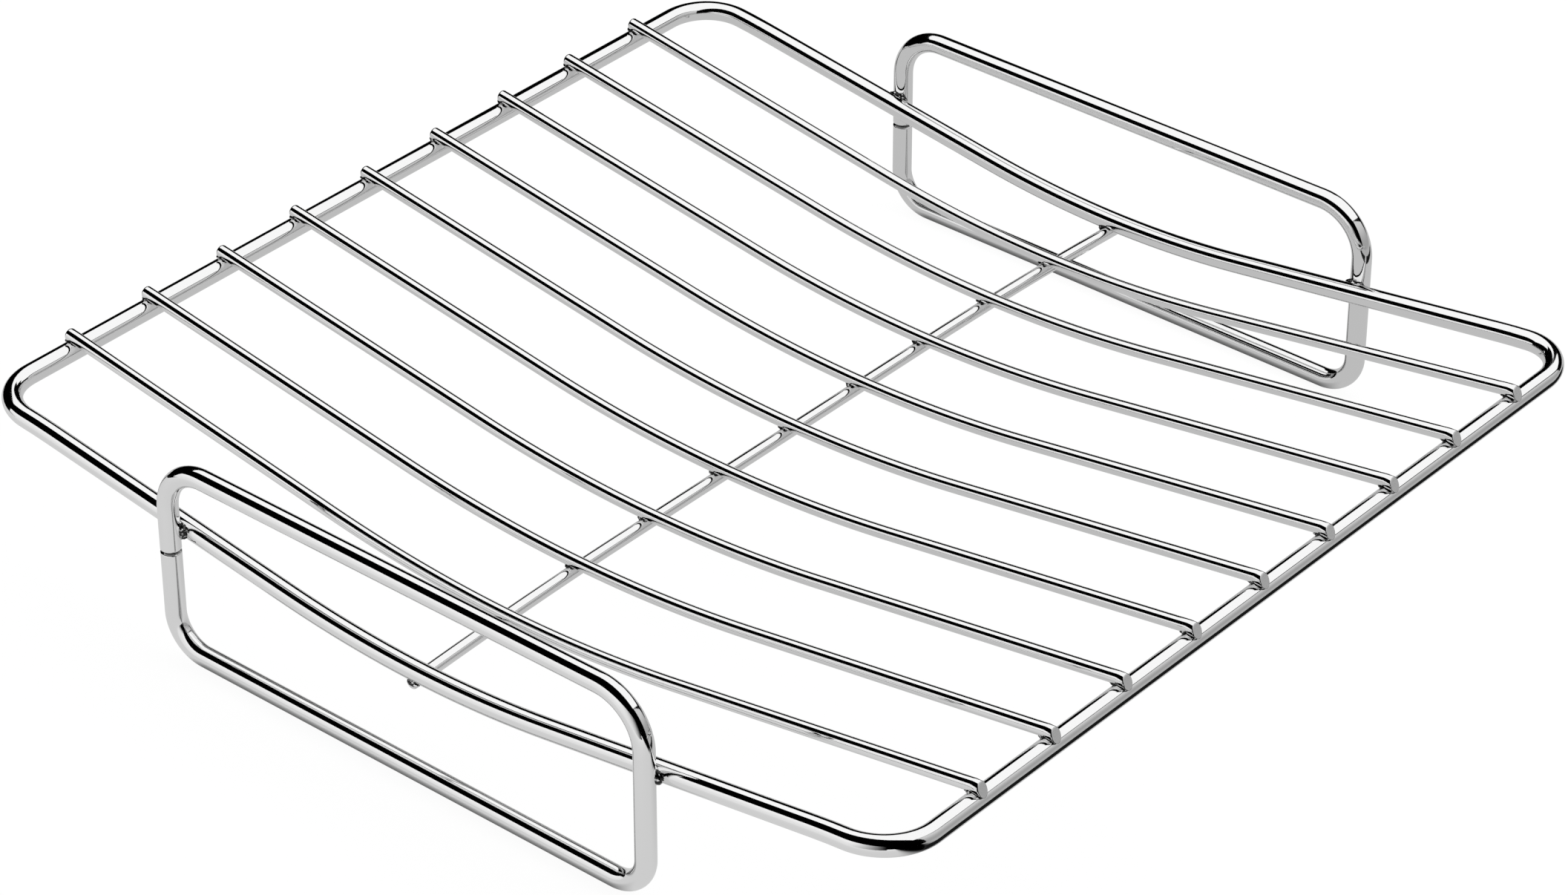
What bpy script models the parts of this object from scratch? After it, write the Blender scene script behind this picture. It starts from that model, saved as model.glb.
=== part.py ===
"""A dished grill rack, welded from round steel rod.

A thick rod bent to a rounded rectangle is the frame. Its left and right sides are straight, high
rails, and its front and back sides sag in the middle. Nine thin wires lie across the rails and
follow the same dish, on a thin crossbar that runs below their middles. Two upright loops of
thick rod, welded to the front and the back of the frame, are its legs and its handles.

Metres, +Z up. X runs along the wires and Y along the rails. The origin is on the floor, below
the middle of the rack. Run it with blender --background --python part.py, or from the text editor.
"""

import math

import bmesh
import bpy

MM = 0.001

# Rod stock
THICK_ROD = 5.0 * MM
THIN_ROD = 3.2 * MM

# Frame. The rails and sides are placed by the centreline of their rod. The dish length is how
# much of a long side is curved in its middle, and the ease length is the curve beside each rail
RAIL_SPACING = 273.0 * MM
RAIL_HEIGHT = 40.5 * MM
FRAME_CORNER_RADIUS = 13.0 * MM
FRAME_SAG = 15.2 * MM
FRAME_DISH_LENGTH = 79.0 * MM
FRAME_EASE_LENGTH = 21.0 * MM

# Cross wires, which lie along X. The end gap is from the last wire to the frame's sagging side
WIRE_COUNT = 9
WIRE_PITCH = 25.0 * MM
WIRE_END_GAP = 27.0 * MM
WIRE_SAG = 16.7 * MM
WIRE_DISH_LENGTH = 105.0 * MM
WIRE_OVERHANG_LEFT = 1.2 * MM
WIRE_OVERHANG_RIGHT = 2.2 * MM

# Crossbar, which lies along Y: straight in the middle, bent down at its ends. The end weld is how
# deep its ends are pressed into the underside of the frame, deeper than the other rods
CROSSBAR_STRAIGHT = 110.0 * MM
CROSSBAR_OVERHANG = 1.5 * MM
CROSSBAR_END_WELD = 1.4 * MM

# Upright loops, by their centreline
LOOP_WIDTH = 144.0 * MM
LOOP_HEIGHT = 50.0 * MM
LOOP_TOP_RADIUS = 12.5 * MM
LOOP_BOTTOM_RADIUS = 9.0 * MM

# Rounding of the cut ends, the depth that rods melt into each other, and the play at each seat
TUMBLED_EDGE = 0.5 * MM
SET_DOWN = 0.25 * MM
SEAT_GAP = 0.3 * MM

# How finely round stock and bends are faceted, and which edges count as sharp
ROD_SIDES = 12
BEND_STEP = math.radians(15)
DISH_STEP = math.radians(2.5)
BAR_STEPS = 6
WELD_DISTANCE = 0.01 * MM
SHARP_EDGE = math.radians(40)
CUT_EDGE = math.radians(60)

# Places that follow from the sizes above
THICK_RADIUS = THICK_ROD / 2
THIN_RADIUS = THIN_ROD / 2
RAIL_X = RAIL_SPACING / 2
SIDE_Y = (WIRE_COUNT - 1) / 2 * WIRE_PITCH + WIRE_END_GAP
THICK_ON_THIN = THICK_RADIUS + THIN_RADIUS - SET_DOWN
THIN_ON_THIN = THIN_ROD - SET_DOWN
THICK_ON_THICK = THICK_ROD - SET_DOWN
WIRE_END_HEIGHT = RAIL_HEIGHT + THICK_ON_THIN
BAR_MIDDLE_HEIGHT = WIRE_END_HEIGHT - WIRE_SAG - THIN_ON_THIN
BAR_END_HEIGHT = RAIL_HEIGHT - FRAME_SAG - (THICK_RADIUS + THIN_RADIUS - CROSSBAR_END_WELD)
LOOP_Y = SIDE_Y + THICK_ON_THICK


class Dish:
    """The side view that the frame's long sides and the wires share.

    The middle is a curve with a straight flank tangent to each end of it. On the frame a second
    curve eases each flank level at the rail. Heights are measured from the rails' level.
    """

    def __init__(self, sag, dish_length, ease_length=0.0):
        self.sag = sag
        self.curve_end = dish_length / 2
        self.ease_length = ease_length
        self.ease_start = RAIL_X - ease_length
        self.slope = sag / (RAIL_X - (self.curve_end + ease_length) / 2)

    def height(self, x):
        x = abs(x)
        if x < self.curve_end:
            return self.slope * x**2 / (2 * self.curve_end) - self.sag
        if self.ease_length and x > self.ease_start:
            return -self.slope * (RAIL_X - x) ** 2 / (2 * self.ease_length)
        return self.slope * (x - self.curve_end / 2) - self.sag

    def stations(self, left, right):
        """Where the rod is faceted between two ends: along the curves, and at the ends."""
        steps = math.ceil(math.atan(self.slope) / DISH_STEP)
        outward = [self.curve_end * step / steps for step in range(steps + 1)]
        if self.ease_length:
            outward += [RAIL_X - self.ease_length * step / steps for step in range(steps + 1)]
        both = {-x for x in outward} | set(outward)
        inner = [x for x in both if left + THIN_ROD < x < right - THIN_ROD]
        return [left, *sorted(inner), right]


def bend(centre, radius, start, turn):
    """Points on a circular bend in a plane, from the angle start through the angle turn."""
    steps = round(abs(turn) / BEND_STEP)
    angles = [start + turn * step / steps for step in range(steps + 1)]
    return [(centre[0] + radius * math.cos(a), centre[1] + radius * math.sin(a)) for a in angles]


def rounded_corners(half_width, low, high, low_radius, high_radius):
    """The four bends of an upright or flat rectangle, anticlockwise from the lower right."""
    quarter = math.pi / 2
    right_low = bend((half_width - low_radius, low + low_radius), low_radius, -quarter, quarter)
    right_high = bend((half_width - high_radius, high - high_radius), high_radius, 0.0, quarter)
    left_high = [(-across, up) for across, up in reversed(right_high)]
    left_low = [(-across, up) for across, up in reversed(right_low)]
    return right_low, right_high, left_high, left_low


def crossbar_height(y):
    """The bar is straight under the middle wires and bends down to pass below the frame."""
    bent = max(abs(y) - CROSSBAR_STRAIGHT / 2, 0.0)
    whole_bend = SIDE_Y - CROSSBAR_STRAIGHT / 2
    return BAR_MIDDLE_HEIGHT + (BAR_END_HEIGHT - BAR_MIDDLE_HEIGHT) * (bent / whole_bend) ** 2


def frame_path():
    dish = Dish(FRAME_SAG, FRAME_DISH_LENGTH, FRAME_EASE_LENGTH)
    side_end = RAIL_X - FRAME_CORNER_RADIUS
    across = dish.stations(-side_end, side_end)[1:-1]
    corners = rounded_corners(RAIL_X, -SIDE_Y, SIDE_Y, FRAME_CORNER_RADIUS, FRAME_CORNER_RADIUS)
    front_right, back_right, back_left, front_left = corners
    plan = [(x, -SIDE_Y) for x in across] + front_right + back_right
    plan += [(x, SIDE_Y) for x in reversed(across)] + back_left + front_left
    return [(x, y, RAIL_HEIGHT + dish.height(x)) for x, y in plan]


def wire_path(y):
    sag = WIRE_END_HEIGHT - crossbar_height(y) - THIN_ON_THIN
    dish = Dish(sag, WIRE_DISH_LENGTH)
    across = dish.stations(-RAIL_X - WIRE_OVERHANG_LEFT, RAIL_X + WIRE_OVERHANG_RIGHT)
    return [(x, y, WIRE_END_HEIGHT + dish.height(x)) for x in across]


def crossbar_path():
    straight_end = CROSSBAR_STRAIGHT / 2
    bent = SIDE_Y + CROSSBAR_OVERHANG - straight_end
    outward = [straight_end + bent * step / BAR_STEPS for step in range(BAR_STEPS + 1)]
    along = [-y for y in reversed(outward)] + outward
    return [(0.0, y, crossbar_height(y)) for y in along]


def loop_path(y):
    low, high = THICK_RADIUS, THICK_RADIUS + LOOP_HEIGHT
    corners = rounded_corners(LOOP_WIDTH / 2, low, high, LOOP_BOTTOM_RADIUS, LOOP_TOP_RADIUS)
    return [(x, y, z) for corner in corners for x, z in corner]


def clear_scene():
    for obj in list(bpy.data.objects):
        bpy.data.objects.remove(obj, do_unlink=True)


def collection(name):
    made = bpy.data.collections.new(name)
    bpy.context.scene.collection.children.link(made)
    return made


def polished_steel(name):
    material = bpy.data.materials.new(name)
    material.use_nodes = True
    shader = material.node_tree.nodes["Principled BSDF"]
    shader.inputs["Base Color"].default_value = (0.78, 0.78, 0.78, 1.0)
    shader.inputs["Metallic"].default_value = 1.0
    shader.inputs["Roughness"].default_value = 0.12
    return material


def rod(name, path, diameter, folder, closed=False, upright=False):
    """Round stock along a path, as a mesh. Its facets are tangent to the true round."""
    curve = bpy.data.curves.new(name, "CURVE")
    curve.dimensions = "3D"
    curve.twist_mode = "MINIMUM" if upright else "Z_UP"
    curve.bevel_depth = diameter / 2 / math.cos(math.pi / ROD_SIDES)
    curve.bevel_resolution = ROD_SIDES // 2 - 2
    curve.use_fill_caps = not closed
    spline = curve.splines.new("POLY")
    spline.points.add(len(path) - 1)
    spline.use_cyclic_u = closed
    for point, place in zip(spline.points, path):
        point.co = (*place, 1.0)
        point.tilt = math.pi / ROD_SIDES
    bent = bpy.data.objects.new(name + "_centreline", curve)
    folder.objects.link(bent)

    evaluated = bent.evaluated_get(bpy.context.evaluated_depsgraph_get())
    mesh = bpy.data.meshes.new_from_object(evaluated)
    mesh.name = name
    shape = bmesh.new()
    shape.from_mesh(mesh)
    bmesh.ops.remove_doubles(shape, verts=shape.verts, dist=WELD_DISTANCE)
    shape.to_mesh(mesh)
    shape.free()
    made = bpy.data.objects.new(name, mesh)
    made.matrix_world = bent.matrix_world
    folder.objects.link(made)
    bpy.data.objects.remove(bent, do_unlink=True)
    bpy.data.curves.remove(curve)
    return made


def finish(piece):
    """Rounds the look of the facets and gives the piece its own steel."""
    piece.data.shade_smooth()
    piece.data.set_sharp_from_angle(angle=SHARP_EDGE)
    piece.data.materials.clear()
    piece.data.materials.append(polished_steel(piece.name + "_steel"))


def tumble_ends(piece):
    """Rounds the rim of each cut end, as barrel tumbling leaves it."""
    edge = piece.modifiers.new("tumbled_ends", "BEVEL")
    edge.width = TUMBLED_EDGE
    edge.segments = 2
    edge.limit_method = "ANGLE"
    edge.angle_limit = CUT_EDGE


def seat_on(piece, neighbour):
    """Hollows the piece where it is pressed on to its neighbour, with the seat gap all round."""
    cut = piece.modifiers.new("seat_on_" + neighbour.name, "BOOLEAN")
    cut.operation = "DIFFERENCE"
    cut.solver = "EXACT"
    cut.object = neighbour


def seat_cutter(name, path, diameter, folder, closed=False):
    cutter = rod(name, path, diameter + 2 * SEAT_GAP, folder, closed)
    cutter.hide_render = True
    cutter.display_type = "WIRE"
    return cutter


clear_scene()
rack = collection("wire_rack")
cutters = collection("seat_cutters")

frame_seat = seat_cutter("frame_seat", frame_path(), THICK_ROD, cutters, closed=True)
crossbar_seat = seat_cutter("crossbar_seat", crossbar_path(), THIN_ROD, cutters)

frame = rod("frame", frame_path(), THICK_ROD, rack, closed=True)
finish(frame)

for number in range(WIRE_COUNT):
    wire_y = (number - (WIRE_COUNT - 1) / 2) * WIRE_PITCH
    wire = rod(f"cross_wire_{number + 1}", wire_path(wire_y), THIN_ROD, rack)
    finish(wire)
    tumble_ends(wire)
    seat_on(wire, frame_seat)
    seat_on(wire, crossbar_seat)

crossbar = rod("crossbar", crossbar_path(), THIN_ROD, rack)
finish(crossbar)
tumble_ends(crossbar)
seat_on(crossbar, frame_seat)

for name, side in (("front_loop", -1), ("back_loop", 1)):
    loop = rod(name, loop_path(side * LOOP_Y), THICK_ROD, rack, closed=True, upright=True)
    finish(loop)
    seat_on(loop, frame_seat)
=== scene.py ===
# %% [markdown]
# # A dished grill rack in polished rod
#
# The real rack is thirteen lengths of round steel rod, bent, welded where they cross, and then
# plated and polished as one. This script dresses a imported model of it: every rod is swept again
# as a finer mesh with its cut ends, weld beads and butt joints, gets a polished finish made of
# shader nodes, and stands in a small photo studio. All sizes are in metres, with Z up.

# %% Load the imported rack
import math

import bmesh
import bpy
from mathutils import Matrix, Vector, noise


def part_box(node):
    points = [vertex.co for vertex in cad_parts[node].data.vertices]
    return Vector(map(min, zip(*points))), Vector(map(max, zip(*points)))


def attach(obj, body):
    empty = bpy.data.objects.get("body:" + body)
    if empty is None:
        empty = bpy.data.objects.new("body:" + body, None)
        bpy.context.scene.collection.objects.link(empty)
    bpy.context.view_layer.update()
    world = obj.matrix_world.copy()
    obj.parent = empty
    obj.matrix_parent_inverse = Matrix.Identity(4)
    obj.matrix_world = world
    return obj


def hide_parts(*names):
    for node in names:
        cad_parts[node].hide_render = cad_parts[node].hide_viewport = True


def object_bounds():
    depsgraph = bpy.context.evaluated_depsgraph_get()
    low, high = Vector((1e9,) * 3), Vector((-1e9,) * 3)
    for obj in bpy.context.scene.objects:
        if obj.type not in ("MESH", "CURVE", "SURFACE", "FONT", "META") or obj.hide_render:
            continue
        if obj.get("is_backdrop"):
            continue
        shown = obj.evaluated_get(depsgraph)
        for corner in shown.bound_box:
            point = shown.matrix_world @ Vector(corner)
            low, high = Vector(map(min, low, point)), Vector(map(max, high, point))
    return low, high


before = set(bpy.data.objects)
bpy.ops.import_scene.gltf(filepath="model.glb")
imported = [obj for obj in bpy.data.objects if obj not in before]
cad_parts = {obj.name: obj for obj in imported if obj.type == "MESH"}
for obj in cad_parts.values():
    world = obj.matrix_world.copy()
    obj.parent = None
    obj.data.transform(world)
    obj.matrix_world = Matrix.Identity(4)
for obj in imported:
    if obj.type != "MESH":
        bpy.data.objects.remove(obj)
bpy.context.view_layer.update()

MM = 0.001
print("packed nodes:", ", ".join(sorted(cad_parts)))

# %% [markdown]
# ## The camera
#
# The product picture was taken from the front right, a little above, with a long lens. A camera
# can be placed by eye, but perspective is what makes drawn and real rods line up, so its place
# was worked out from the rods' crossings: a direction, a distance and a focal length. Blender
# wants the focal length in millimetres of a 36 mm wide sensor, so it is converted from pixels.

# %% Place the camera
PHOTO_WIDTH = 2113
FOCAL_LENGTH_IN_PIXELS = 7049
SENSOR_WIDTH = 36.0
CAMERA_AZIMUTH = math.radians(40.27)
CAMERA_ELEVATION = math.radians(33.27)
CAMERA_DISTANCE = 1229.8 * MM
LOOK_AT = Vector((4.81, -6.67, 26.01)) * MM

towards_camera = Vector((
    math.sin(CAMERA_AZIMUTH) * math.cos(CAMERA_ELEVATION),
    -math.cos(CAMERA_AZIMUTH) * math.cos(CAMERA_ELEVATION),
    math.sin(CAMERA_ELEVATION),
))
lens = bpy.data.cameras.new("product_camera")
lens.sensor_width = SENSOR_WIDTH
lens.lens = SENSOR_WIDTH * FOCAL_LENGTH_IN_PIXELS / PHOTO_WIDTH
camera = bpy.data.objects.new("product_camera", lens)
bpy.context.scene.collection.objects.link(camera)
camera.location = LOOK_AT + CAMERA_DISTANCE * towards_camera
camera.rotation_euler = towards_camera.to_track_quat("Z", "Y").to_euler()
bpy.context.scene.camera = camera
print("focal length, mm:", round(lens.lens, 1))

# %% [markdown]
# ## Measuring the rack
#
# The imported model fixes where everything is, so the places of the rods are read from the boxes
# of its nodes. Only what a box can't tell is written here: the two rod thicknesses, how deep the
# rods melt into each other at a weld, and the lengths and radii of the bends.

# %% Read the main sizes
THICK_RADIUS = 2.5 * MM
THIN_RADIUS = 1.6 * MM
WELD_DEPTH = 0.25 * MM

frame_low, frame_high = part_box("frame")
RAIL_X = frame_high.x - THICK_RADIUS
SIDE_Y = frame_high.y - THICK_RADIUS
RAIL_Z = frame_high.z - THICK_RADIUS
FRAME_SAG = RAIL_Z - frame_low.z - THICK_RADIUS
WIRE_END_Z = RAIL_Z + THICK_RADIUS + THIN_RADIUS - WELD_DEPTH
print("rails at x, mm:", round(RAIL_X / MM, 2), " sag, mm:", round(FRAME_SAG / MM, 2))

# %% [markdown]
# ## One bend profile for the frame and the wires
#
# Seen from the front, the frame's long sides and the nine wires share one dished line: a
# shallow curve in the middle and a straight flank on each side of it. The frame also eases back
# to level beside each rail. A spline through picked points would wobble, and a wobble of a
# tenth of a millimetre shows in a polished rod, so each stretch is a parabola or a line that
# meets the next one at the same slope.

# %% The dished line
FRAME_DISH_LENGTH = 79 * MM
FRAME_EASE_LENGTH = 21 * MM
WIRE_DISH_LENGTH = 105 * MM


def dish_height(x, sag, dish_length, ease_length=0.0):
    """Height of the line at x, measured from the rails' level."""
    x = abs(x)
    curve_end = dish_length / 2
    slope = sag / (RAIL_X - (curve_end + ease_length) / 2)
    if x < curve_end:
        return slope * x**2 / (2 * curve_end) - sag
    if ease_length and x > RAIL_X - ease_length:
        return -slope * (RAIL_X - x) ** 2 / (2 * ease_length)
    return slope * (x - curve_end / 2) - sag


def between(start, end, step):
    """Evenly spaced numbers from start to end, no further apart than step."""
    count = max(1, math.ceil(abs(end - start) / step))
    return [start + (end - start) * index / count for index in range(count + 1)]


middle = dish_height(0, FRAME_SAG, FRAME_DISH_LENGTH, FRAME_EASE_LENGTH)
print("depth of the frame's dish, mm:", round(-middle / MM, 2))

# %% [markdown]
# ## Sweeping a rod
#
# A rod is a circle swept along a centre line. Blender's curve with a bevel does this in one
# call, but it can't narrow the rod at a cut end, cut a groove round a butt joint or remember
# where each point lies along the stock. So the sweep is done ring by ring: a ring has a centre,
# a direction, a radius and its distance along the rod, and a skin of quads joins the rings.
# Each point also keeps its place on the rod before it was bent, as an attribute, so that the
# finish can follow the drawn length of the rod round every bend. Three more attributes say how
# tightly the rod is bent there, whether it is a cut face and whether it is a joint.

# %% Rings
class Ring:
    """One round section of a rod."""

    def __init__(self, centre, forward, radius, along, bend=0.0, cut=0.0):
        self.centre = centre
        self.forward = forward
        self.radius = radius
        self.along = along
        self.bend = bend
        self.cut = cut
        self.joint = 0.0


def rings_along(line, radius, closed=False):
    """A ring at each point of a centre line, with the bend as the turn per millimetre."""
    rings = []
    along = 0.0
    for index, point in enumerate(line):
        before = line[index - 1] if closed or index > 0 else point
        after = line[(index + 1) % len(line)] if closed or index < len(line) - 1 else point
        if index > 0:
            along += (point - line[index - 1]).length
        forward = (after - before).normalized()
        bend = 0.0
        if before is not point and after is not point:
            turn = (point - before).angle(after - point)
            bend = turn / ((after - before).length / 2 / MM)
        rings.append(Ring(point, forward, radius, along, bend))
    return rings


# %% Skin over the rings
THICK_SIDES = 40
THIN_SIDES = 28


def skin(name, rings, sides, square_to, closed=False):
    """A mesh object over the rings. square_to is a direction that the rod never runs along."""
    shape = bmesh.new()
    place = shape.verts.layers.float_vector.new("rod_place")
    bent = shape.verts.layers.float.new("rod_bend")
    cut = shape.verts.layers.float.new("rod_cut")
    joint = shape.verts.layers.float.new("rod_joint")
    loops = []
    for ring in rings:
        across = ring.forward.cross(square_to).normalized()
        upward = across.cross(ring.forward)
        loop = []
        for side in range(sides):
            angle = math.tau * side / sides
            spoke = (math.cos(angle) * across + math.sin(angle) * upward) * ring.radius
            vertex = shape.verts.new(ring.centre + spoke)
            vertex[place] = (ring.along, spoke.dot(across), spoke.dot(upward))
            vertex[bent] = ring.bend
            vertex[cut] = ring.cut
            vertex[joint] = ring.joint
            loop.append(vertex)
        loops.append(loop)
    pairs = list(zip(loops, loops[1:]))
    if closed:
        pairs.append((loops[-1], loops[0]))
    for one, two in pairs:
        for side in range(sides):
            following = (side + 1) % sides
            shape.faces.new((one[side], two[side], two[following], one[following]))
    if not closed:
        shape.faces.new(loops[0])
        shape.faces.new(reversed(loops[-1]))
    bmesh.ops.recalc_face_normals(shape, faces=shape.faces)
    mesh = bpy.data.meshes.new(name)
    shape.to_mesh(mesh)
    shape.free()
    mesh.shade_smooth()
    made = bpy.data.objects.new(name, mesh)
    bpy.context.scene.collection.objects.link(made)
    return made


print("sides of a thick and a thin rod:", THICK_SIDES, THIN_SIDES)

# %% Put a rod in its place
UP = Vector((0, 0, 1))
BACK = Vector((0, 1, 0))
pieces = []


def place_rod(made, node):
    """The fine rod stands for its plain node and rides with the rack's one body."""
    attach(made, "root")
    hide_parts(node)
    pieces.append(made)
    print(made.name, "has", len(made.data.polygons), "faces")


# %% [markdown]
# ## The frame
#
# The frame is one thick rod, bent to a rounded rectangle in plan while its front and back
# sides follow the dished line. In plan it is four arcs joined by straights. The height is then
# read from the dished line, at each point's x, so the bend and the dish run together as they do
# after a rod is bent flat and pressed in a die.

# %% Outline with rounded corners
CORNER_STEP = math.radians(4)
STRAIGHT_STEP = 4 * MM


def arc(centre, radius, start, turn):
    """Points of an arc in a plane, without its first and last point."""
    angles = between(start, start + turn, CORNER_STEP)[1:-1]
    return [(centre[0] + radius * math.cos(a), centre[1] + radius * math.sin(a)) for a in angles]


def rounded_rectangle(half_width, low, high, low_radius, high_radius):
    """The outline of a rounded rectangle as points, anticlockwise from its lower left."""
    quarter = math.pi / 2
    low_end, high_end = half_width - low_radius, half_width - high_radius
    bottom, top = low + low_radius, high - high_radius
    outline = [(x, low) for x in between(-low_end, low_end, STRAIGHT_STEP)]
    outline += arc((low_end, bottom), low_radius, -quarter, quarter)
    outline += [(half_width, y) for y in between(bottom, top, STRAIGHT_STEP)]
    outline += arc((high_end, top), high_radius, 0, quarter)
    outline += [(x, high) for x in between(high_end, -high_end, STRAIGHT_STEP)]
    outline += arc((-high_end, top), high_radius, quarter, quarter)
    outline += [(-half_width, y) for y in between(top, bottom, STRAIGHT_STEP)]
    outline += arc((-low_end, bottom), low_radius, 2 * quarter, quarter)
    return outline


# %% Sweep the frame
CORNER_RADIUS = 13 * MM


def frame_height(x):
    """Height of the frame's centre line at x."""
    return RAIL_Z + dish_height(x, FRAME_SAG, FRAME_DISH_LENGTH, FRAME_EASE_LENGTH)


plan = rounded_rectangle(RAIL_X, -SIDE_Y, SIDE_Y, CORNER_RADIUS, CORNER_RADIUS)
frame_line = [Vector((x, y, frame_height(x))) for x, y in plan]
frame_rings = rings_along(frame_line, THICK_RADIUS, closed=True)
place_rod(skin("bent_frame", frame_rings, THICK_SIDES, UP, closed=True), "frame")

# %% [markdown]
# ## The cross wires
#
# Nine thin wires lie across the rails. Each was cut from a coil by a shear, which rolls the
# upper edge of the cut over, leaves the face slanted and drags the end down, and plating then
# softens the rim. The rim is made by narrowing the last rings along a quarter of an ellipse. The
# slant and the drag then move the last rings' points, which a bevel modifier couldn't do. Only
# the right ends show a hard shear. The left ends are cut square. A wire climbs towards its ends,
# so the lower edge of its cut reaches past the middle, and the line stops that much short.

# %% Round the rim of a cut end
RIM_DEPTH = 0.4 * MM
RIM_LENGTH = 0.7 * MM
RIM_STEPS = 7
FLAT_RING = 0.93


def cut_end(last, outward):
    """Rings that round the rim of a cut end and close it with a flat face."""
    rings = []
    for step in range(1, RIM_STEPS + 1):
        turn = math.pi / 2 * step / RIM_STEPS
        distance = RIM_LENGTH * (math.sin(turn) - 1) * outward
        radius = last.radius - RIM_DEPTH * (1 - math.cos(turn))
        centre = last.centre + last.forward * distance
        rings.append(Ring(centre, last.forward, radius, last.along + distance))
    face = rings[-1]
    rings.append(Ring(face.centre, face.forward, face.radius * FLAT_RING, face.along, cut=1.0))
    return rings


def open_rod(line, radius):
    """Rings of a rod with two cut ends, whose flat faces lie at the ends of the line."""
    rings = rings_along(line, radius)
    first, last = rings[0], rings[-1]
    body = [ring for ring in rings if RIM_LENGTH < ring.along < last.along - RIM_LENGTH]
    return [*reversed(cut_end(first, -1)), *body, *cut_end(last, 1)]


# %% Slant and drag a sheared end
SHEAR_LENGTH = 2.4 * MM
SHEAR_DRAG = 1.0 * MM
SHEAR_DRAG_POWER = 1.6
SHEAR_TOP_SPARED = 0.2
SHEAR_SLANT = math.tan(math.radians(22))


def shear_end(made, end_x):
    """Slants the cut at end_x so that it looks up, and drags the end down, its top a bit less."""
    places = made.data.attributes["rod_place"].data
    for vertex in made.data.vertices:
        share = max(0.0, 1 - (end_x - vertex.co.x) / SHEAR_LENGTH)
        above_bottom = (places[vertex.index].vector.z + THIN_RADIUS) / (2 * THIN_RADIUS)
        vertex.co.x -= share * SHEAR_SLANT * above_bottom * 2 * THIN_RADIUS
        drag = SHEAR_DRAG * share**SHEAR_DRAG_POWER
        vertex.co.z -= drag * (1 - SHEAR_TOP_SPARED * above_bottom)


# %% Sweep the nine wires
WIRE_STEP = 3 * MM
END_TILT = 0.18 * MM

for number in range(1, 10):
    node = f"cross_wire_{number}"
    low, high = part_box(node)
    sag = WIRE_END_Z - low.z - THIN_RADIUS
    y = (low.y + high.y) / 2
    across = between(low.x + END_TILT, high.x - END_TILT, WIRE_STEP)
    line = [Vector((x, y, WIRE_END_Z + dish_height(x, sag, WIRE_DISH_LENGTH))) for x in across]
    wire = skin(f"wire_{number}", open_rod(line, THIN_RADIUS), THIN_SIDES, UP)
    shear_end(wire, high.x)
    place_rod(wire, node)

# %% [markdown]
# ## The crossbar
#
# A thin bar runs from front to back below the middles of the wires and keeps them level. It is
# straight under the middle wires and bends down at both ends, where it is pressed deep into the
# underside of the frame's sagging sides.

# %% Sweep the crossbar
BAR_STRAIGHT = 110 * MM
bar_low, bar_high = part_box("crossbar")
BAR_Z = bar_high.z - THIN_RADIUS
BAR_WELD_DEPTH = 1.4 * MM
BAR_SIDE_Z = RAIL_Z - FRAME_SAG - THICK_RADIUS - THIN_RADIUS + BAR_WELD_DEPTH


def bar_height(y):
    """Height of the crossbar's centre line at y."""
    bent = max(abs(y) - BAR_STRAIGHT / 2, 0) / (SIDE_Y - BAR_STRAIGHT / 2)
    return BAR_Z + (BAR_SIDE_Z - BAR_Z) * bent**2


bar_line = [Vector((0, y, bar_height(y))) for y in between(bar_low.y, bar_high.y, WIRE_STEP)]
place_rod(skin("bar_under_wires", open_rod(bar_line, THIN_RADIUS), THIN_SIDES, UP), "crossbar")

# %% [markdown]
# ## The two upright loops
#
# Each loop is a leg below the frame and a handle above it. It is bent from one thick rod whose
# two ends meet in a butt joint on the left upright, just below the frame, and the joint shows as
# a fine dark groove. The outline is the rounded rectangle again, turned upright, with its points
# shifted to start at the joint. There the rings stand closer together and grow narrower.

# %% The line of a loop
TOP_RADIUS = 12.5 * MM
BOTTOM_RADIUS = 9 * MM
JOINT_Z = {"front_loop": 28.5 * MM, "back_loop": 25.2 * MM}
GROOVE_WIDTH = 0.48 * MM
GROOVE_RINGS = (0.0, 0.3, 0.6, 0.85, 1.0, 1.6)
SLACK = 1e-6


def loop_line(node):
    """The loop's centre line, starting at the butt joint on its left upright."""
    low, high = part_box(node)
    joint_z = JOINT_Z[node]
    half_width = high.x - THICK_RADIUS
    outline = rounded_rectangle(
        half_width, low.z + THICK_RADIUS, high.z - THICK_RADIUS, BOTTOM_RADIUS, TOP_RADIUS
    )
    y = (low.y + high.y) / 2
    points = [Vector((x, y, z)) for x, z in outline]
    left = -half_width + SLACK
    near = [p for p in points if p.x < left and abs(p.z - joint_z) < 2 * GROOVE_WIDTH]
    points = [p for p in points if p not in near]
    after = next(i for i, p in enumerate(points) if p.x < left and p.z < joint_z)
    points = points[after:] + points[:after]
    fine = [share * GROOVE_WIDTH for share in GROOVE_RINGS]
    start = [Vector((-half_width, y, joint_z - gap)) for gap in fine]
    end = [Vector((-half_width, y, joint_z + gap)) for gap in reversed(fine[1:])]
    return start + points + end


# %% Cut the groove and sweep the loops
GROOVE_DEPTH = 0.8 * MM
GROOVE_POWER = 0.7
# How the painted shade in the groove fades away from the butt joint.
DARK_POWER = 0.5


def groove(rings):
    """Narrows the rings on both sides of the joint, and marks them as joint."""
    length = rings[-1].along
    for ring in rings:
        distance = min(ring.along, length + GROOVE_RINGS[1] * GROOVE_WIDTH - ring.along)
        share = max(0.0, 1 - distance / GROOVE_WIDTH)
        ring.radius -= GROOVE_DEPTH * share**GROOVE_POWER
        ring.joint = share**DARK_POWER
    return rings


for node, name in (("front_loop", "front_stand"), ("back_loop", "back_stand")):
    loop_rings = groove(rings_along(loop_line(node), THICK_RADIUS, closed=True))
    place_rod(skin(name, loop_rings, THICK_SIDES, BACK, closed=True), node)

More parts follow.
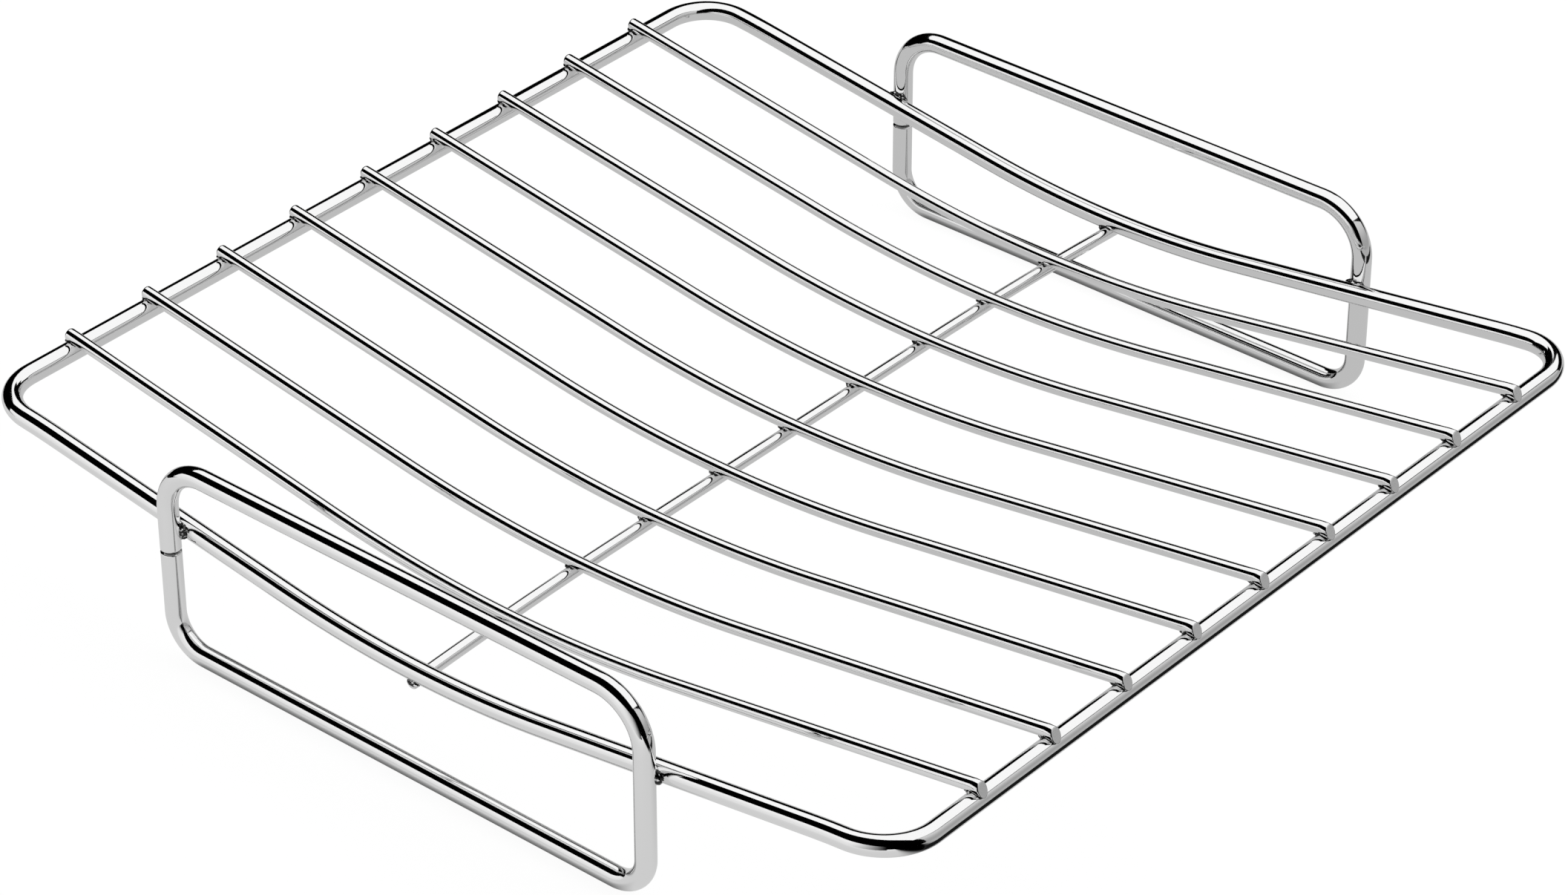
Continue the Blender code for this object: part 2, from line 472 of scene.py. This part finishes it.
# %% [markdown]
# ## Weld beads
#
# The rods are resistance welded: they are squeezed together while a current melts the spot
# where they touch, and a little metal is pushed out all round. It sets as a small lumpy lens in
# the corner between the rods, and catches tiny streaks of light. Each bead is an icosphere,
# flattened to that lens and roughened with noise, which is simple and gives every weld its own
# form. The beads of one row are one mesh. The squeezed metal went to one side in each row, so the
# rows are shifted a little off the middle of their crossings. Each end of the crossbar has two
# beads, one on each side of the frame.

# %% The shape of a bead
BEAD_LUMPS = 0.22
FINE_SHARE = 0.5
COARSE_SCALE = 1.6
FINE_SCALE = 4.5
SEED_STEPS = (3.1, 1.7, 2.3)
BEAD_DETAIL = 4


def bead(shape, centre, radii, seed):
    """Adds one lumpy lens to a mesh. The seed moves it to another part of the noise."""
    made = bmesh.ops.create_icosphere(shape, subdivisions=BEAD_DETAIL, radius=1.0)
    shift = Vector([seed * step for step in SEED_STEPS])
    for vertex in made["verts"]:
        coarse = noise.noise(vertex.co * COARSE_SCALE + shift)
        fine = noise.noise(vertex.co * FINE_SCALE + shift)
        swell = 1 + BEAD_LUMPS * (coarse + FINE_SHARE * fine)
        vertex.co = centre + Vector(c * r for c, r in zip(vertex.co * swell, radii))


# %% A row of beads
beads = []


def bead_row(name, places, radii):
    """One piece with a bead at each place."""
    shape = bmesh.new()
    for index, place in enumerate(places):
        bead(shape, place, radii, index + len(pieces))
    mesh = bpy.data.meshes.new(name)
    shape.to_mesh(mesh)
    shape.free()
    mesh.shade_smooth()
    made = bpy.data.objects.new(name, mesh)
    bpy.context.scene.collection.objects.link(made)
    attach(made, "root")
    beads.append(made)
    print(name, "has", len(places), "beads")


# %% Beads on the rails and the crossbar
RAIL_BEAD = Vector((1.7, 1.35, 0.85)) * MM
BAR_BEAD = Vector((1.5, 1.4, 0.8)) * MM

wire_ys = [sum(c.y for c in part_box(f"cross_wire_{number}")) / 2 for number in range(1, 10)]
RIGHT_SHIFT = -1.4 * MM
LEFT_SHIFT = -0.4 * MM
BAR_SHIFT = -0.7 * MM
rail_top = RAIL_Z + THICK_RADIUS - WELD_DEPTH / 2
rail_rows = (("left_rail_welds", LEFT_SHIFT - RAIL_X), ("right_rail_welds", RIGHT_SHIFT + RAIL_X))
for name, x in rail_rows:
    bead_row(name, [Vector((x, y, rail_top)) for y in wire_ys], RAIL_BEAD)

bar_top = THIN_RADIUS - WELD_DEPTH / 2
bar_spots = [Vector((BAR_SHIFT, y, bar_height(y) + bar_top)) for y in wire_ys]
bead_row("bar_welds", bar_spots, BAR_BEAD)

# %% Beads on the frame's sides
SIDE_BEAD = Vector((1.8, 1.1, 0.9)) * MM
LOOP_BEAD = Vector((3.1, 1.5, 2.4)) * MM
INNER_BEAD_IN = 2.0 * MM
INNER_BEAD_DOWN = 1.6 * MM
OUTER_BEAD_OUT = 1.2 * MM
OUTER_BEAD_DOWN = 2.3 * MM
OUTER_SHIFT = 0.6 * MM
side_z = frame_height(0)
inner_y, outer_y = SIDE_Y - INNER_BEAD_IN, SIDE_Y + OUTER_BEAD_OUT
inner_spots = [Vector((BAR_SHIFT, y, side_z - INNER_BEAD_DOWN)) for y in (-inner_y, inner_y)]
outer_spots = [Vector((OUTER_SHIFT, y, side_z - OUTER_BEAD_DOWN)) for y in (-outer_y, outer_y)]
bead_row("bar_end_welds", inner_spots + outer_spots, SIDE_BEAD)

loop_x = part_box("front_loop")[1].x - THICK_RADIUS
weld_y = SIDE_Y + THICK_RADIUS - WELD_DEPTH / 2
loop_spots = [Vector((x, y, frame_height(x))) for x in (-loop_x, loop_x) for y in (-weld_y, weld_y)]
bead_row("loop_welds", loop_spots, LOOP_BEAD)

# %% [markdown]
# ## Writing shader maths as Python
#
# Shader nodes do sums one node at a time, which is slow to read. A small class wraps a socket
# and gives it Python's operators, so that an expression such as 0.1 + 0.2 * grain adds its own
# Math nodes. Every other node comes from one method that takes its type, its settings and what
# goes into its sockets.

# %% Wrap a socket
class Socket:
    """An output socket with arithmetic."""

    def __init__(self, shader, output):
        self.shader = shader
        self.output = output

    def combine(self, operation, one, two):
        """The output of a new Math node."""
        inputs = {0: one, 1: two}
        return self.shader.node("ShaderNodeMath", {"operation": operation}, inputs)

    def __add__(self, other):
        return self.combine("ADD", self, other)

    def __radd__(self, other):
        return self.combine("ADD", other, self)

    def __sub__(self, other):
        return self.combine("SUBTRACT", self, other)

    def __rsub__(self, other):
        return self.combine("SUBTRACT", other, self)

    def __mul__(self, other):
        return self.combine("MULTIPLY", self, other)

    def __rmul__(self, other):
        return self.combine("MULTIPLY", other, self)


# %% Build a node tree
class Shader:
    """A node tree that is filled from Python."""

    def __init__(self, owner):
        owner.use_nodes = True
        self.tree = owner.node_tree
        self.tree.nodes.clear()

    def node(self, kind, settings=None, inputs=None, output=0):
        """Adds a node and returns one of its outputs, or the node where it has none."""
        made = self.tree.nodes.new(kind)
        for name, value in (settings or {}).items():
            setattr(made, name, value)
        for key, value in (inputs or {}).items():
            if isinstance(value, Socket):
                self.tree.links.new(value.output, made.inputs[key])
            else:
                made.inputs[key].default_value = value
        return Socket(self, made.outputs[output]) if made.outputs else made

    def rise(self, value, start, end):
        """A smooth rise from 0 at start to 1 at end."""
        return self.node("ShaderNodeMapRange", {"interpolation_type": "SMOOTHSTEP"},
                         {"Value": value, "From Min": start, "From Max": end})

    def absolute(self, value):
        """The value without its sign."""
        return self.node("ShaderNodeMath", {"operation": "ABSOLUTE"}, {0: value})

    def position(self, axis):
        """One coordinate of the point that is being shaded, in metres."""
        place = self.node("ShaderNodeNewGeometry", output="Position")
        return self.node("ShaderNodeSeparateXYZ", inputs={0: place}, output=axis)


# %% [markdown]
# ## The polished finish
#
# Plated rod is a mirror with small faults. Three of them show: faint lines drawn along the rod,
# an orange-peel grain where a tight bend has stretched the surface, and a slow ripple that makes
# the edges of reflections waver. The ripple and the peel are relief too fine to model, so they
# are bump. The drawn lines are finer than a pixel, where bump would only make specks, so they
# change the roughness instead. All of them use the stored place on the unbent rod, and the lines
# are stretched along it, so that they turn with every bend. A cut face is matt, and the groove
# of a butt joint is dark, because little light comes back out of it.

# %% Polished rod
CHROME_GREY = 0.86
RIPPLE_HEIGHT = 0.002 * MM
PEEL_HEIGHT = 0.02 * MM
MIRROR_ROUGHNESS = 0.03
LINE_ROUGHNESS = 0.04
PEEL_ROUGHNESS = 0.4
CUT_ROUGHNESS = 0.35

# Each grain as its size across the rod, its stretch along the rod and its detail.
LINE_GRAIN = (0.25 * MM, 60, 2.0)
RIPPLE_GRAIN = (3.0 * MM, 3, 1.0)
PEEL_GRAIN = (0.5 * MM, 1, 2.0)


def polished_rod(name):
    """The plated and polished surface of the rods."""
    material = bpy.data.materials.new(name)
    shader = Shader(material)
    place = shader.node("ShaderNodeAttribute", {"attribute_name": "rod_place"}, output="Vector")
    bend = shader.node("ShaderNodeAttribute", {"attribute_name": "rod_bend"}, output="Fac")

    def grain(size, stretch, detail):
        """Noise with grains of a size, stretched along the rod."""
        scaled = shader.node(
            "ShaderNodeVectorMath", {"operation": "MULTIPLY"},
            {0: place, 1: (1 / (size * stretch), 1 / size, 1 / size)},
        )
        inputs = {"Vector": scaled, "Scale": 1.0, "Detail": detail}
        return shader.node("ShaderNodeTexNoise", inputs=inputs)

    cut = shader.node("ShaderNodeAttribute", {"attribute_name": "rod_cut"}, output="Fac")
    joint = shader.node("ShaderNodeAttribute", {"attribute_name": "rod_joint"}, output="Fac")
    lines = grain(*LINE_GRAIN)
    ripple = grain(*RIPPLE_GRAIN)
    peel = grain(*PEEL_GRAIN)
    relief = RIPPLE_HEIGHT * ripple + PEEL_HEIGHT * bend * peel
    roughness = MIRROR_ROUGHNESS + LINE_ROUGHNESS * lines
    roughness = roughness + PEEL_ROUGHNESS * bend * peel + CUT_ROUGHNESS * cut
    heights = {"Height": relief, "Distance": 1.0, "Strength": 1.0}
    bump = shader.node("ShaderNodeBump", inputs=heights)
    surface = shader.node(
        "ShaderNodeBsdfPrincipled",
        inputs={
            # Darker at the joint: painted shade in the groove of the butt joint.
            "Base Color": CHROME_GREY * (1 - joint),
            "Metallic": 1.0,
            "Roughness": roughness,
            "Normal": bump,
        },
    )
    shader.node("ShaderNodeOutputMaterial", inputs={"Surface": surface})
    return material


rod_finish = polished_rod("polished_rod")
for made in pieces:
    made.data.materials.append(rod_finish)
print("rods finished:", len(pieces))

# %% [markdown]
# ## The weld metal
#
# The beads are plated too, but they were never drawn or polished. Their pits are painted
# black, as painted shade for the dark corner between the rods that each bead sits in, and
# only the lumps between the pits are bright, so that a bead is dark with a few streaks of
# light. One noise drives both the colour and the bump.

# %% Weld finish
PIT_SIZE = 0.8 * MM
PIT_DEPTH = 0.1 * MM
UNSHADED_FROM = 0.54
UNSHADED_TO = 0.64
# The pits' black is painted shade, and the lumps keep the bright grey of the plating.
PAINTED_SHADE_GREY = 0.03
LUMP_GREY = 0.78
WELD_ROUGHNESS = 0.04
PIT_ROUGHNESS = 0.1


def weld_metal(name):
    """Plated weld metal, with its pits painted black as painted shade."""
    material = bpy.data.materials.new(name)
    shader = Shader(material)
    place = shader.node("ShaderNodeTexCoord", output="Object")
    pits = shader.node(
        "ShaderNodeTexNoise",
        inputs={"Vector": place, "Scale": 1 / PIT_SIZE, "Detail": 2.0},
    )
    unshaded = shader.rise(pits, UNSHADED_FROM, UNSHADED_TO)
    bump = shader.node("ShaderNodeBump", inputs={"Height": PIT_DEPTH * pits, "Distance": 1.0})
    surface = shader.node(
        "ShaderNodeBsdfPrincipled",
        inputs={
            # Painted shade in the pits, and the plating's own grey on the lumps.
            "Base Color": PAINTED_SHADE_GREY + (LUMP_GREY - PAINTED_SHADE_GREY) * unshaded,
            "Metallic": 1.0,
            "Roughness": WELD_ROUGHNESS + PIT_ROUGHNESS * pits,
            "Normal": bump,
        },
    )
    shader.node("ShaderNodeOutputMaterial", inputs={"Surface": surface})
    return material


weld_finish = weld_metal("weld_metal")
for made in beads:
    made.data.materials.append(weld_finish)
print("bead rows finished:", len(beads))

# %% [markdown]
# ## The studio
#
# A mirror finish shows its surroundings, so the studio is half of the material. The rods tell
# what stood round the real rack, and most of it was one large soft box overhead. It is an area
# lamp, because a lamp lights the floor with less noise than a shining card does.

# %% Softbox
SOFTBOX_HEIGHT = 440
SOFTBOX_LOW = Vector((-560, -114, SOFTBOX_HEIGHT)) * MM
SOFTBOX_HIGH = Vector((448, 410, SOFTBOX_HEIGHT)) * MM
SOFTBOX_BRIGHTNESS = 1.08

width, depth = SOFTBOX_HIGH.x - SOFTBOX_LOW.x, SOFTBOX_HIGH.y - SOFTBOX_LOW.y
softbox = bpy.data.lights.new("overhead_softbox", "AREA")
softbox.shape = "RECTANGLE"
softbox.size, softbox.size_y = width, depth
softbox.energy = SOFTBOX_BRIGHTNESS * math.pi * width * depth
softbox_lamp = bpy.data.objects.new("overhead_softbox", softbox)
softbox_lamp.location = (SOFTBOX_LOW + SOFTBOX_HIGH) / 2
softbox_lamp.visible_camera = False
bpy.context.scene.collection.objects.link(softbox_lamp)
print("softbox power, W:", round(softbox.energy, 2))

# %% [markdown]
# ## Cards
#
# Everything else in the studio is a flat card that only shines. The camera doesn't see the cards
# and they cast no shadow, so they can stand in the picture wherever a reflection needs them. A
# graded card's grey is a function of the place on it. The soft box goes on behind the lamp as
# two wings, which are the first cards.

# %% Cards and the softbox's wings
# Each level card as two opposite corners, in millimetres.
WING = ((-345, 410), (448, 660))
FAR_WING = ((-100, 660), (448, 1100))


def shining(name, brightness, fade=None):
    """A card's material: it only shines. fade can give its grey as a function of its shader."""
    material = bpy.data.materials.new(name)
    shader = Shader(material)
    grey = fade(shader) if fade else (1, 1, 1, 1)
    glow = shader.node("ShaderNodeEmission", inputs={"Color": grey, "Strength": brightness})
    shader.node("ShaderNodeOutputMaterial", inputs={"Surface": glow})
    return material


def card(name, corners, brightness, lights_floor=False, fade=None):
    """A flat card between four corners in millimetres. Only reflections see it."""
    mesh = bpy.data.meshes.new(name)
    mesh.from_pydata([Vector(corner) * MM for corner in corners], [], [(0, 1, 2, 3)])
    made = bpy.data.objects.new(name, mesh)
    bpy.context.scene.collection.objects.link(made)
    mesh.materials.append(shining(name, brightness, fade))
    made.visible_camera = False
    made.visible_shadow = False
    made.visible_diffuse = lights_floor
    made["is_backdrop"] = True
    print("card:", name)


def flat_card(name, low, high, height, brightness):
    """A level card between two opposite corners."""
    corners = [(low[0], low[1], height), (high[0], low[1], height),
               (high[0], high[1], height), (low[0], high[1], height)]
    card(name, corners, brightness)


flat_card("softbox_wing", *WING, SOFTBOX_HEIGHT, SOFTBOX_BRIGHTNESS)
flat_card("softbox_far_wing", *FAR_WING, SOFTBOX_HEIGHT, SOFTBOX_BRIGHTNESS)

# %% [markdown]
# ## Two boards
#
# A white board stands low in front and fades out to the right, and a grey board stands on the
# right, with a top that falls towards the back. Both also light the floor a little. A plain
# board would end at a sharp edge in every rod. The real rods show them fading out, so both are
# graded.

# %% Boards
FRONT_START, FRONT_END, FRONT_HEIGHT = (-520, -330), (310, -330), 164
FRONT_FOOT_GREY = 0.85
FRONT_FOOT_END = 150 * MM
FRONT_FADE = (50 * MM, 310 * MM)
RIGHT_X = 455
RIGHT_NEAR_Y, RIGHT_FAR_Y = -70, 900
RIGHT_FAR_HEIGHT = 320
RIGHT_FOOT_GREY = 0.39
RIGHT_TOP_GREY = 0.68
RIGHT_RISE = (60 * MM, 340 * MM)


def upright_card(name, start, end, height, brightness, lights_floor=False, fade=None):
    """An upright card along a line on the floor from start to end."""
    corners = [(*start, 0), (*end, 0), (*end, height), (*start, height)]
    card(name, corners, brightness, lights_floor, fade)


def front_fade(shader):
    """The front board is darker near the floor and towards its right end."""
    above_foot = shader.rise(shader.position("Z"), 0, FRONT_FOOT_END)
    upward = FRONT_FOOT_GREY + (1 - FRONT_FOOT_GREY) * above_foot
    return upward * (1 - shader.rise(shader.position("X"), *FRONT_FADE))


def right_fade(shader):
    """The right board is brighter towards the softbox."""
    above_foot = shader.rise(shader.position("Z"), *RIGHT_RISE)
    return RIGHT_FOOT_GREY + (RIGHT_TOP_GREY - RIGHT_FOOT_GREY) * above_foot


upright_card("front_board", FRONT_START, FRONT_END, FRONT_HEIGHT, 1.0, True, front_fade)
right_corners = [(RIGHT_X, RIGHT_NEAR_Y, 0), (RIGHT_X, RIGHT_FAR_Y, 0),
                 (RIGHT_X, RIGHT_FAR_Y, RIGHT_FAR_HEIGHT), (RIGHT_X, RIGHT_NEAR_Y, SOFTBOX_HEIGHT)]
card("right_board", right_corners, 1.0, True, right_fade)

# %% [markdown]
# ## Darkness
#
# Darkness draws the thin black lines along every rod, so it has to be placed too. Two dark cards
# lie just above the table, left and right, where the rods mirror nothing bright. Dark drapes all
# round and overhead keep the white background out of the reflections.

# %% Dark cards and drapes
DARK_HEIGHT = 1
DARK_STRIP = ((144, -105), (208, 300))
DARK_STRIP_GREY = 0.01
DARK_LEFT = ((-1200, -1200), (-340, 1200))
flat_card("dark_strip_right", *DARK_STRIP, DARK_HEIGHT, DARK_STRIP_GREY)
flat_card("dark_left_of_table", *DARK_LEFT, DARK_HEIGHT, 0.0)

DRAPE = 1200
DRAPE_HEIGHT = 900
drape_corners = [(-DRAPE, -DRAPE), (DRAPE, -DRAPE), (DRAPE, DRAPE), (-DRAPE, DRAPE)]
for side in range(4):
    start, end = drape_corners[side], drape_corners[(side + 1) % 4]
    upright_card(f"dark_drape_{side + 1}", start, end, DRAPE_HEIGHT, 0.0)
flat_card("dark_drape_top", (-DRAPE, -DRAPE), (DRAPE, DRAPE), DRAPE_HEIGHT, 0.0)

# %% [markdown]
# ## The floor that the rods mirror
#
# The rods mirror a grey table. It is in the rack's own shade below it, brighter before it and
# brightest far before it, darker at its right, dark in a line at each loop's foot, and dark
# beyond the front right corner, where the front board ends. A lit floor could give those greys
# too, but small mirrors turn its noise into specks, so the rods are shown the greys themselves.
# A glow is also a lamp to the renderer, which would aim rays at it and bring the specks back, so
# that is switched off.

# %% Mirrored greys
UNDER_RACK = 0.58
BEFORE_RACK = 0.7
FAR_BEFORE_RACK = 0.94
BESIDE_RACK = 0.46
FOOT_SHADE = 0.8
CORNER_DARK_X = 150 * MM
CORNER_DARK_Y = -130 * MM
CORNER_ACROSS = 0.62
CORNER_ALONG = 0.78
FOOT_Y = SIDE_Y + 2 * THICK_RADIUS - WELD_DEPTH

# Where each grey of the floor gives way to the next, as a start and an end.
BEFORE_EDGE = (-135 * MM, -80 * MM)
FAR_BEFORE_EDGE = (-420 * MM, -130 * MM)
BESIDE_EDGE = (170 * MM, 240 * MM)
FOOT_EDGE = (1 * MM, 9 * MM)
FOOT_END = (62 * MM, 70 * MM)
CORNER_EDGE = (0, 22 * MM)
CORNER_FRONT = (-110 * MM, -70 * MM)

floor_finish = bpy.data.materials.new("white_floor")
floor_finish.cycles.emission_sampling = "NONE"
shader = Shader(floor_finish)
floor_x, floor_y = shader.position("X"), shader.position("Y")

before_rack = 1 - shader.rise(floor_y, *BEFORE_EDGE)
beside_rack = shader.rise(floor_x, *BESIDE_EDGE)
off_foot_line = shader.absolute(shader.absolute(floor_y) - FOOT_Y)
near_foot = 1 - shader.rise(off_foot_line, *FOOT_EDGE)
at_foot = near_foot * (1 - shader.rise(shader.absolute(floor_x), *FOOT_END))
off_corner_x = CORNER_ACROSS * (floor_x - CORNER_DARK_X)
off_corner = off_corner_x + CORNER_ALONG * (floor_y - CORNER_DARK_Y)
at_front = 1 - shader.rise(floor_y, *CORNER_FRONT)
beyond_corner = shader.rise(off_corner, *CORNER_EDGE) * at_front
far_before_rack = 1 - shader.rise(floor_y, *FAR_BEFORE_EDGE)
# These greys are painted light and painted shade of the table, which the floor glows with for
# mirrored rays.
mirrored_grey = UNDER_RACK + (BEFORE_RACK - UNDER_RACK) * before_rack
mirrored_grey = mirrored_grey + (FAR_BEFORE_RACK - BEFORE_RACK) * far_before_rack
mirrored_grey = mirrored_grey + (BESIDE_RACK - UNDER_RACK) * beside_rack * (1 - before_rack)
mirrored_grey = mirrored_grey * (1 - FOOT_SHADE * at_foot) * (1 - beyond_corner)
mirrored = shader.node("ShaderNodeEmission", inputs={"Color": mirrored_grey, "Strength": 1.0})
print("mirrored greys:", UNDER_RACK, BEFORE_RACK, FAR_BEFORE_RACK, BESIDE_RACK)

# %% [markdown]
# ## The floor that the camera sees
#
# The picture is on pure white. The camera sees a floor that is mostly its own white, with a
# little of the true lit floor mixed in, so that the rack keeps a soft shadow. Light Path tells
# the camera's rays from the mirrored ones. The floor's back is clear, for a look from below.

# %% Floor
FLOOR_GREY = 0.9
FLOOR_SIZE = 20.0
SHADOW_SHARE = 0.12
WHITE_STRENGTH = 1.06

floor_colour = (FLOOR_GREY, FLOOR_GREY, FLOOR_GREY, 1)
lit = shader.node("ShaderNodeBsdfDiffuse", inputs={"Color": floor_colour})
white_inputs = {"Color": (1, 1, 1, 1), "Strength": WHITE_STRENGTH}
white = shader.node("ShaderNodeEmission", inputs=white_inputs)
in_rods = shader.node("ShaderNodeLightPath", output="Is Glossy Ray")
dimmed = shader.node("ShaderNodeMixShader", inputs={0: in_rods, 1: lit, 2: mirrored})
seen = shader.node("ShaderNodeLightPath", output="Is Camera Ray")
white_share = seen * (1 - SHADOW_SHARE)
whitened = shader.node("ShaderNodeMixShader", inputs={0: white_share, 1: dimmed, 2: white})
behind = shader.node("ShaderNodeNewGeometry", output="Backfacing")
clear = shader.node("ShaderNodeBsdfTransparent")
open_below = shader.node("ShaderNodeMixShader", inputs={0: behind, 1: whitened, 2: clear})
shader.node("ShaderNodeOutputMaterial", inputs={"Surface": open_below})

floor_mesh = bpy.data.meshes.new("floor")
half = FLOOR_SIZE / 2
floor_mesh.from_pydata([(-half, -half, 0), (half, -half, 0), (half, half, 0), (-half, half, 0)],
                       [], [(0, 1, 2, 3)])
floor_mesh.materials.append(floor_finish)
floor = bpy.data.objects.new("floor", floor_mesh)
bpy.context.scene.collection.objects.link(floor)
floor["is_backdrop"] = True
print("share of the lit floor that the camera sees:", SHADOW_SHARE)

# %% [markdown]
# ## The background
#
# The world is white where the camera or a mirror sees it, and only dim for the light that it
# casts. So the picture's edge is white without more light on the rods.

# %% World
FILL_BRIGHTNESS = 0.3

world = bpy.data.worlds.new("white_studio")
bpy.context.scene.world = world
shader = Shader(world)
camera_ray = shader.node("ShaderNodeLightPath", output="Is Camera Ray")
glossy_ray = shader.node("ShaderNodeLightPath", output="Is Glossy Ray")
glass_ray = shader.node("ShaderNodeLightPath", output="Is Transmission Ray")
shown = camera_ray + glossy_ray + glass_ray
strength = FILL_BRIGHTNESS + (1 - FILL_BRIGHTNESS) * shown
sky = shader.node("ShaderNodeBackground", inputs={"Color": (1, 1, 1, 1), "Strength": strength})
shader.node("ShaderNodeOutputWorld", inputs={"Surface": sky})

bpy.context.scene.view_settings.view_transform = "Standard"
print("fill from the world:", FILL_BRIGHTNESS)

# %% [markdown]
# ## The size of the dressed rack
#
# The dressed rack has to fill the same box as the imported one, so its box is printed.

# %% Print the dressed rack's box
low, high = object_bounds()
print("box, mm:", [round(c / MM, 3) for c in (*low, *high)])
